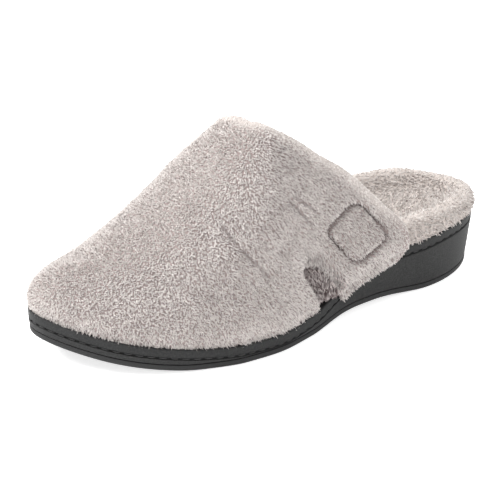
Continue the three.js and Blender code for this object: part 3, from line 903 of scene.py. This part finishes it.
def locks(root, normal, laid, length, lean, swing, radius, strands, chance):
    """Locks of nap, each of some closed spikes with four points. A spike stands on a triangle that
    is turned at random about the normal, within a radius of the lock's root, and its tip is near
    the lock's own: a length away, leant from the normal towards the way that the nap lies, which
    swings to both sides at random."""
    laid = unit(laid - normal * (laid * normal).sum(-1, keepdims=True))
    across = np.cross(normal, laid)
    count = len(root)
    swing = (swing * chance.normal(size=count))[:, None]
    lean = (lean + chance.normal(0, LEAN_SPREAD, count))[:, None]
    heading = normal * np.cos(lean) + (laid * np.cos(swing) + across * np.sin(swing)) * np.sin(lean)
    tip = (root + heading * length[:, None])[:, None]
    root, laid, across = root[:, None], laid[:, None], across[:, None]
    turn = chance.uniform(0, 2 * np.pi, (count, strands, 1))
    off = radius * np.sqrt(chance.random((count, strands, 1)))
    foot = root + off * (laid * np.cos(turn) + across * np.sin(turn)) - normal[:, None] * ROOT_SINK
    twist = chance.uniform(0, 2 * np.pi, (count, strands, 1))
    width = STRAND_RADIUS * chance.uniform(*STRAND_SPREAD, (count, strands, 1))
    turns = [twist + k * 2 * np.pi / 3 for k in range(3)]
    corners = [foot + width * (laid * np.cos(turn) + across * np.sin(turn)) for turn in turns]
    end = tip + TIP_APART * (foot - root) + TIP_SPREAD * radius * chance.normal(size=(count, strands, 3))
    return np.stack([*corners, end], 2)


def nap_piece(name, spikes, tones, finish, slot_name):
    """A mesh of spikes. Each has its own tone at the tip and a share of it at the root, which is
    painted shade among the roots, and a square cell of the baking map, with one face in each quarter."""
    count = spikes.shape[0] * spikes.shape[1]
    one = np.array([(0, 2, 1), (0, 1, 3), (1, 2, 3), (2, 0, 3)])
    faces = (one + 4 * np.arange(count)[:, None, None]).reshape(-1, 3)
    piece = finish_piece(name, spikes.reshape(-1, 3), faces, finish, slot_name, smooth=False)
    shade = np.repeat(ROOT_SHADE * tones[..., None], 4, axis=2)
    shade[..., 3] = tones
    keep_values(piece, "tone", shade)
    across = math.ceil(math.sqrt(count))
    cell = np.stack([np.arange(count) % across, np.arange(count) // across], -1)
    quarter = np.array([(0, 0), (0.5, 0), (0, 0.5), (0.5, 0.5)])
    corner = np.array([(0.05, 0.05), (0.45, 0.05), (0.25, 0.45)])
    spots = (cell[:, None, None] + quarter[:, None] + corner) / across
    piece.data.uv_layers.new(name="OFBake").uv.foreach_set("vector", spots.astype(np.float32).ravel())
    return piece


def strand_tones(middle, strands, chance, even=0.0):
    """A tone for each strand of each lock, about the lock's own. A few strands stay in shade, and
    the fewer the more even the nap is."""
    size = (len(middle), strands)
    tones = middle[:, None] + chance.normal(0, TONE_SPREAD, size)
    shaded = chance.random(size) < SHADED_STRANDS * (1 - np.broadcast_to(even, len(middle)))[:, None]
    return np.clip(np.where(shaded, SHADED_TONE * tones, tones), *TONE_LIMITS)


fleece = fabric("terry_nap", 0.35)
mottle = 0.35 + 0.3 * fleece.noise(11 * MM) + fleece.noise(0.9 * MM, 3)
shade = fleece.attribute("tone") * mottle
fleece.give("Base Color", fleece.blend(shade, srgb(120, 107, 106), srgb(238, 233, 229)))

shell_normals = quad_normals(shell_points, shell_faces)
outside = shell_faces[:kept.sum()]
lips = shell_faces[2 * kept.sum():]
napped = np.concatenate([outside, lips])
chance = np.random.default_rng(20)
root, root_normal = scatter(shell_points, shell_normals, napped, NAP_LOCKS, chance)
value = np.where(root[:, 1] > AXIS_Y, notch(root[:, 0], root[:, 2]), 1)
rear = smoothstep(2 * MM, -2 * MM, ahead_of_notch(root))
above_rim = over_rim(root)
fringe = bell(np.maximum(value, 0), FRINGE_REACH) * rear * smoothstep(0, FRINGE_FOOT, above_rim)
off = seam_off(root)
seam = bell(off, SEAM_HALF_WIDTH)
roll = collar_roll(root)
painted_highlight = collar_highlight(root)
patches = ripple(root, PATCH_GRAIN, 8)
length = NAP_LENGTH * (1 + 0.12 * patches + chance.normal(0, NAP_LENGTH_SPREAD, NAP_LOCKS))
length = length * (1 - 0.65 * seam) * (1 + 0.7 * fringe) * (1 - 0.5 * roll)
length = length * (1 + HEM_RAGGED * bell(above_rim, HEM_BAND) * chance.random(NAP_LOCKS))
lay = NAP_DOWN + NAP_BACK * smoothstep(0, 0.5, np.abs(root_normal[:, 1:2]))
lay = mix(lay, FRINGE_LAY, fringe[:, None])
lay = lay + NAP_SWAY * ripple(root, LUMPS[1], 9)[:, None] * np.cross(root_normal, lay)
sideways = smoothstep(*SIDEWAYS, np.abs(root_normal[:, 1]))
curly = np.maximum(1 - sideways, 0.5 * smoothstep(*CURLY_TOE, root[:, 0]))
length = length * (1 - 0.25 * curly) * (1 - 0.35 * furrows(root))
on_rim = bell(above_rim, HEM_BAND) * (1 - strap_share(share_of(root[:, 0])))
lean = NAP_LEAN - 0.2 * curly + 0.25 * roll - 0.5 * on_rim
swing = mix(*LOCK_SWING, curly * (1 - on_rim))
spikes = locks(root, root_normal, lay, length, lean, swing, LOCK_RADIUS, NAP_STRANDS, chance)
# Painted light and shade in the nap's tone: a painted highlight on the collar's edge, the curly toe and
# ridge painted a little lighter against the shade among their curls, and painted shade in the seam's groove
# and along the furrows.
furrow_shade = furrows(spikes[:, :, 3].mean(1))
tone = NAP_TONE + 0.04 * patches + 0.02 * curly + 0.25 * painted_highlight - 0.55 * seam - 0.42 * furrow_shade
tone = strand_tones(tone, NAP_STRANDS, chance, np.maximum(painted_highlight, NAP_EVEN * (1 - sideways)))
clear = np.flatnonzero(off > SEAM_LINE)
for number in range(NAP_PIECES):
    part = clear[number::NAP_PIECES]
    nap_piece("terry_nap_%d" % (number + 1), spikes[part], tone[part], fleece, "terry")

# The side underlay: longer pile that shows in the notch, on a terry backing that stands on the
# rim behind the strap and the vamp. It lies forward and down, with painted shade that is darkest
# next to the vamp, whose edge shades the notch.
UNDERLAY_WALL = 2.6 * MM
UNDERLAY_CLEARANCE = 0.5 * MM
UNDERLAY_ROWS = (0.115, 0.434)
UNDERLAY_ARC = 0.164
UNDERLAY_FRONT = 0.586
UNDERLAY_GRID = (60, 40)
BACKING_SHADE = (0.8, 0.3)
PILE_REACH = 0.5
PILE_LONG = 6.5 * MM
PILE_SHORT = 2.6 * MM
PILE_SPREAD = (0.75, 1.15)
PILE_FOOT = 0.35
PILE_LEAN = 0.75
PILE_SWING = 0.55
PILE_SWAY = 0.35
PILE_RADIUS = 1.3 * LOCK_RADIUS
PILE_LOCKS = 1500
PILE_STRANDS = 6
PILE_TONES = (1.3, 0.85)
PILE_SHADED = 0.4

rows, arcs = np.meshgrid(np.linspace(*UNDERLAY_ROWS, UNDERLAY_GRID[0]),
                         np.linspace(0, UNDERLAY_ARC, UNDERLAY_GRID[1]), indexing="ij")
share = mix(collar_share(arcs), 1, rows)
depth = WALL + UNDERLAY_CLEARANCE
backing_outer = upper_point(share, arcs, 0 * arcs, depth)
backing_inner = upper_point(share, arcs, 0 * arcs, depth + UNDERLAY_WALL)
whole = np.ones((UNDERLAY_GRID[0] - 1, UNDERLAY_GRID[1] - 1), bool)

pile = fabric("notch_pile", 0.15)
grain = pile.noise(1.6 * MM, 2)
plain = pile.blend(grain, srgb(120, 107, 105), srgb(172, 160, 156))
# Painted shade: the backing is painted darker inside the notch, where the vamp and strap shade it.
notch_shade = pile.blend(grain, srgb(96, 82, 80), srgb(150, 136, 132))
pile.give("Base Color", pile.blend(pile.attribute("notch"), plain, notch_shade))
pile.give("Normal", pile.bump(pile.noise(0.8 * MM, 3), 0.5 * MM, 0.8))
backing_points, backing_faces = thick_shell(backing_outer, backing_inner, whole)
backing = finish_piece("underlay_backing", backing_points, backing_faces, pile, "terry")
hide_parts("side_underlay")
place = vertex_values(backing, "co")
facing_out = vertex_values(backing, "normal")[:, 1] > 0
# Where the backing's painted shade lies: inside the notch, on faces that look outwards.
keep_values(backing, "notch", smoothstep(*BACKING_SHADE, notch(place[:, 0], place[:, 2])) * facing_out)

long_pile = fabric("notch_pile_strands", 0.15)
shade = long_pile.attribute("tone")
long_pile.give("Base Color", long_pile.blend(shade, srgb(104, 88, 87), srgb(246, 238, 236)))

chance = np.random.default_rng(31)
backing_outside = backing_faces[:whole.sum()]
middle = backing_points[backing_outside].mean(1)
shown = notch(middle[:, 0], middle[:, 2]) < PILE_REACH
root, root_normal = scatter(backing_points, quad_normals(backing_points, backing_faces),
                            backing_outside[shown], PILE_LOCKS, chance)
# How far a root lies towards the vamp's edge and the notch's top: the pile is shorter there, and painted
# darker as painted shade from the vamp's edge.
forward = smoothstep(-1, 1, ahead_of_notch(root) / NOTCH_HALF_WIDTH)
high = smoothstep(0.2, 1, (root[:, 2] - NOTCH_FOOT) / NOTCH_HEIGHT)
dark = np.clip(forward + 0.5 * high, 0, 1)
length = mix(PILE_LONG, PILE_SHORT, dark) * chance.uniform(*PILE_SPREAD, PILE_LOCKS)
length = length * mix(PILE_FOOT, 1, smoothstep(0, FRINGE_FOOT, over_rim(root)))
lay = FRINGE_LAY + PILE_SWAY * ripple(root, LUMPS[1], 12)[:, None] * np.cross(root_normal, FRINGE_LAY)
spikes = locks(root, root_normal, lay, length, PILE_LEAN, PILE_SWING, PILE_RADIUS, PILE_STRANDS, chance)
# Painted shade: the pile's tone falls towards the vamp, and a share of its locks stay in shade.
tone = mix(*PILE_TONES, dark) * np.where(chance.random(PILE_LOCKS) < PILE_SHADED, SHADED_TONE, 1)
tone = strand_tones(tone, PILE_STRANDS, chance)
nap_piece("underlay_pile", spikes, tone, long_pile, "terry")

# The footbed: a foam insole in a plush cover, cupped under the heel. Round the open heel its
# side wall and broad round crest stand above the rim; inside the upper it is thinner.
FOOTBED_THICKNESS = 6 * MM
CUP_CREST = 41.8 * MM
CUP_DEPTH = 8 * MM
PLUSH_OVERHANG = 0.6 * MM
PLUSH_SINK = 0.1 * MM
FOOTBED_CLEARANCE = 0.5 * MM
FOOTBED_STEP = 0.03
DISH_RINGS = ((24 * MM, 1), (17 * MM, 0.85), (11 * MM, 0.35), (7 * MM, 0.06), (4.5 * MM, 0.02))
SIDE_RINGS = ((2 * MM, 0.88), (0.6 * MM, 0.66), (0, 0.35), (0.8 * MM, 0))
RING_STEPS = 4
FOOTBED = {
    "along": (0.00, 0.05, 0.10, 0.22, 0.30, 0.38, 0.46, 1.00),
    "crest": (0.1, 0.6, 1.0, 1.0, 0.7, 0.2, 0.0, 0.0),
    "dish": (0.8, 0.9, 1.0, 1.0, 0.7, 0.3, 0.2, 0.1),
}


def crest_height(s):
    """How high the footbed's edge stands over the rim: plain, or up to the cup's level crest."""
    return mix(FOOTBED_THICKNESS, CUP_CREST - rim(s), curve(FOOTBED, "crest", s))


def footbed_edge(s, side):
    """How far the footbed's edge lies inside the sole's outline. It overhangs the open heel, and
    steps inwards before the upper's wall and the underlay."""
    wall_inset = FEATHER_INSET + WALL + FOOTBED_CLEARANCE
    if side < 0:
        return mix(-PLUSH_OVERHANG, wall_inset, smoothstep(COLLAR_INNER - FOOTBED_STEP, COLLAR_INNER, s))
    past_underlay = smoothstep(UNDERLAY_FRONT + FOOTBED_STEP, UNDERLAY_FRONT + 2 * FOOTBED_STEP, s)
    inset = (mix(wall_inset, FOOTBED_CLEARANCE - GAP, strap_share(s))
             + (UNDERLAY_CLEARANCE + UNDERLAY_WALL) * (1 - past_underlay))
    return mix(-PLUSH_OVERHANG, inset, smoothstep(COLLAR_OUTER, COLLAR_OUTER + FOOTBED_STEP, s))


def side_ring(inset, rise):
    """A ring of the footbed's side wall, at a share of its rise from the rim to the crest."""
    return ring(lambda s, side: footbed_edge(s, side) + inset,
                lambda s: rim(s) + GAP + rise * (crest_height(s) - PLUSH_SINK - GAP))


def dish_ring(reach, drop):
    """A ring that is shrunk towards the axis by a reach, a share of the cup's depth below the crest."""
    edge = ring(lambda s, side: np.maximum(0, footbed_edge(s, side)), rim)
    x = MIDDLE_X + (edge[..., 0] - MIDDLE_X) * (1 - reach / (0.5 * LENGTH))
    axis = AXIS_Y - TOE_INFLARE * curve(OUTLINE, "axis", share_of(edge[..., 0]))
    y = mix(axis, edge[..., 1], 1 - reach / (0.5 * HEEL_WIDTH))
    s = share_of(x)
    z = rim(s) + crest_height(s) - PLUSH_SINK - drop * CUP_DEPTH * curve(FOOTBED, "dish", s)
    return np.stack([x, y, z], -1)


def between_rings(rings, steps):
    """More rings through the given ones, on a Catmull-Rom curve from each to the next."""
    rings = np.array(rings)
    before = np.concatenate([rings[:1], rings[:-1]])[:-1]
    first, second = rings[:-1], rings[1:]
    after = np.concatenate([rings[1:], rings[-1:]])[1:]
    made = []
    for t in np.linspace(0, 1, steps, endpoint=False):
        made.append(first + 0.5 * t * (second - before)
                    + t**2 * (before - 2.5 * first + 2 * second - 0.5 * after)
                    + t**3 * (1.5 * (first - second) + 0.5 * (after - before)))
    made = np.stack(made, 1).reshape(-1, *rings.shape[1:])
    return np.concatenate([made, rings[-1:]])


plush = fabric("plush", 0.2)
mottle = 0.6 * plush.noise(2.0 * MM, 2) + 0.4 * plush.noise(11 * MM)
plush.give("Base Color", plush.blend(mottle, srgb(150, 138, 132), srgb(222, 213, 207)))
plush.give("Normal", plush.bump(plush.noise(1.0 * MM, 3), 0.6 * MM, 0.8))

footbed_rings = [dish_ring(reach, drop) for reach, drop in DISH_RINGS]
footbed_rings += [side_ring(inset, rise) for inset, rise in SIDE_RINGS]
footbed_rings = between_rings(footbed_rings, RING_STEPS)
footbed_points, footbed_faces = ringed_solid(footbed_rings)
insole = finish_piece("plush_footbed", footbed_points, footbed_faces, plush, "plush")
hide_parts("footbed")

# The footbed's nap: loosely curled locks on the wall, the crest and the dish, as far as the part
# that the upper hides. They are shorter on the crest, and painted paler there as a painted highlight.
PLUSH_LOCKS = 9500
PLUSH_STRANDS = 4
PLUSH_LENGTH = 1.7 * MM
PLUSH_LENGTH_SPREAD = 0.2
PLUSH_LAY = (-0.6, 0.3, -0.5)
PLUSH_LEAN = 0.7
PLUSH_SWING = 1.1
PLUSH_TONE = 0.87
PLUSH_GRAIN = 3 * MM
CREST_BAND = 1.5 * MM
PLUSH_END = 0.62

sherpa = fabric("plush_nap", 0.2)
mottle = 0.85 + 0.3 * sherpa.noise(9 * MM)
shade = sherpa.attribute("tone") * mottle
sherpa.give("Base Color", sherpa.blend(shade, srgb(130, 118, 114), srgb(229, 224, 220)))

chance = np.random.default_rng(41)
walls = footbed_faces[:(len(footbed_rings) - 1) * (2 * (SOLE_STATIONS + 1) - 1)]
top = footbed_faces[len(walls):len(walls) + SOLE_STATIONS]
seen = np.concatenate([walls, top])
seen = seen[share_of(footbed_points[seen][..., 0].mean(1)) < PLUSH_END]
footbed_normals = quad_normals(footbed_points, footbed_faces)
root, root_normal = scatter(footbed_points, footbed_normals, seen, PLUSH_LOCKS, chance)
crest = bell(over_rim(root) - crest_height(share_of(root[:, 0])) + PLUSH_SINK, CREST_BAND)
lay = np.broadcast_to(PLUSH_LAY, root.shape)
length = PLUSH_LENGTH * (1 + chance.normal(0, PLUSH_LENGTH_SPREAD, PLUSH_LOCKS)) * (1 - 0.3 * crest)
lean = PLUSH_LEAN + 0.3 * crest
spikes = locks(root, root_normal, lay, length, lean, PLUSH_SWING, LOCK_RADIUS, PLUSH_STRANDS, chance)
# Painted highlight: the nap's tone is raised along the crest, where the light catches it.
tone = PLUSH_TONE + 0.2 * crest + 0.08 * ripple(root, PLUSH_GRAIN, 16)
tone = strand_tones(tone, PLUSH_STRANDS, chance)
nap_piece("plush_nap", spikes, tone, sherpa, "plush")
